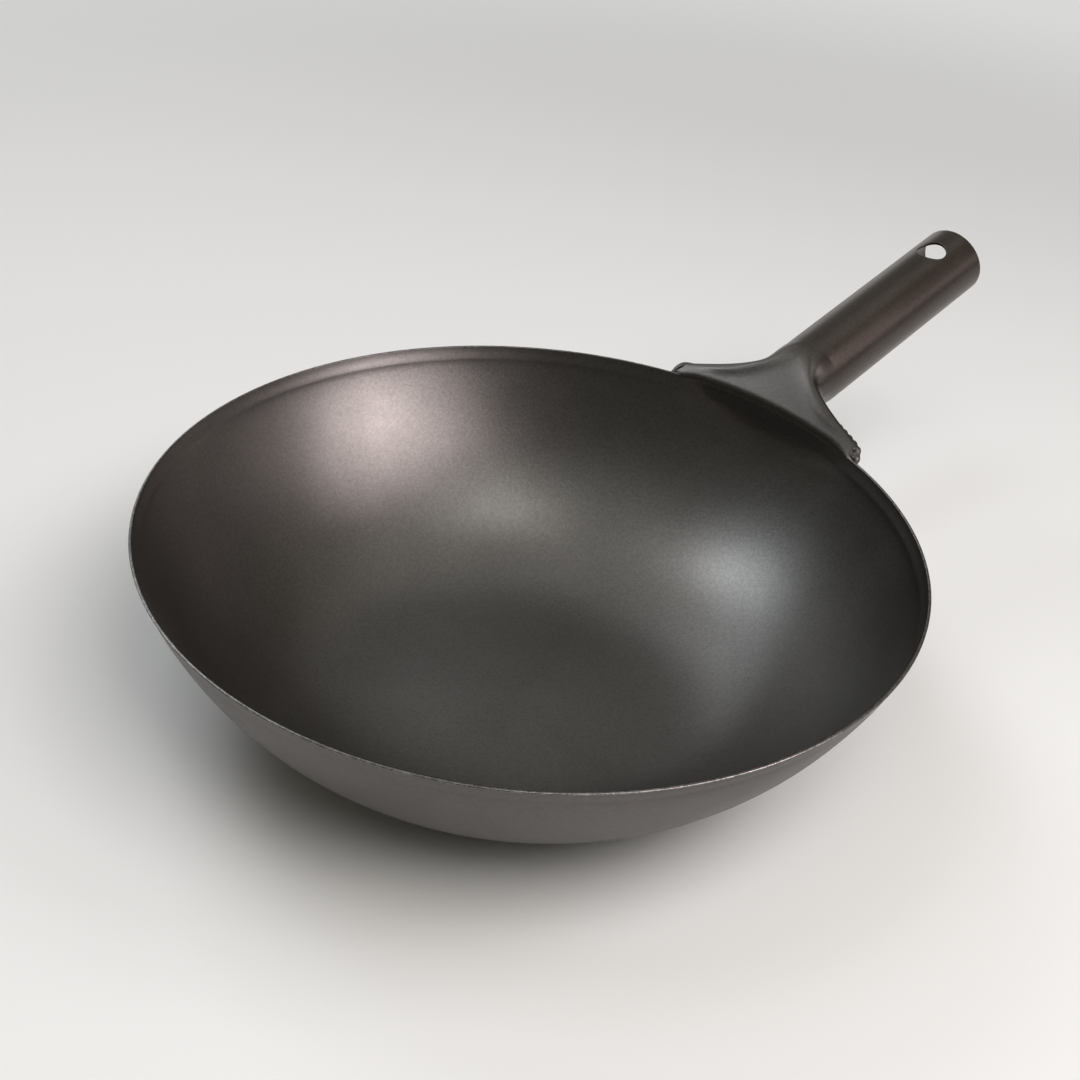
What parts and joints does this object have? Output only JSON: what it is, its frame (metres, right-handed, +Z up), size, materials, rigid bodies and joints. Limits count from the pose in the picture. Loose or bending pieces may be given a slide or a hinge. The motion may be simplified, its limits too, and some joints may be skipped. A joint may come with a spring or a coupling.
{
  "type": "wok",
  "caption": "Round titanium wok with a flat base, a slightly flared lip and an upswept tubular handle that spreads into a plate welded to the rim and has a hang hole near its end.",
  "frame": {"origin": "middle of the flat base, on its underside, straight below the middle of the rim", "axes": "+Z up through the bowl's mouth, +X from the bowl's middle towards the handle, +Y to the left of the handle seen from the bowl"},
  "size_m": [0.4821, 0.33, 0.1467],
  "materials": {
    "bowl_titanium": "matte blasted grey, fine grain",
    "handle_titanium": "satin grey-brown oxide, faint lengthwise streaks",
    "weld_titanium": "dark rough weld bead"
  },
  "bodies": {
    "root": {"bowl": "bowl_titanium", "handle_shell": "handle_titanium", "rim_weld": "bowl_titanium", "left_toe_weld": "weld_titanium", "right_toe_weld": "weld_titanium", "root_weld": "weld_titanium", "seam_weld": "weld_titanium", "seam_end_weld": "weld_titanium"}
  },
  "joints": []
}
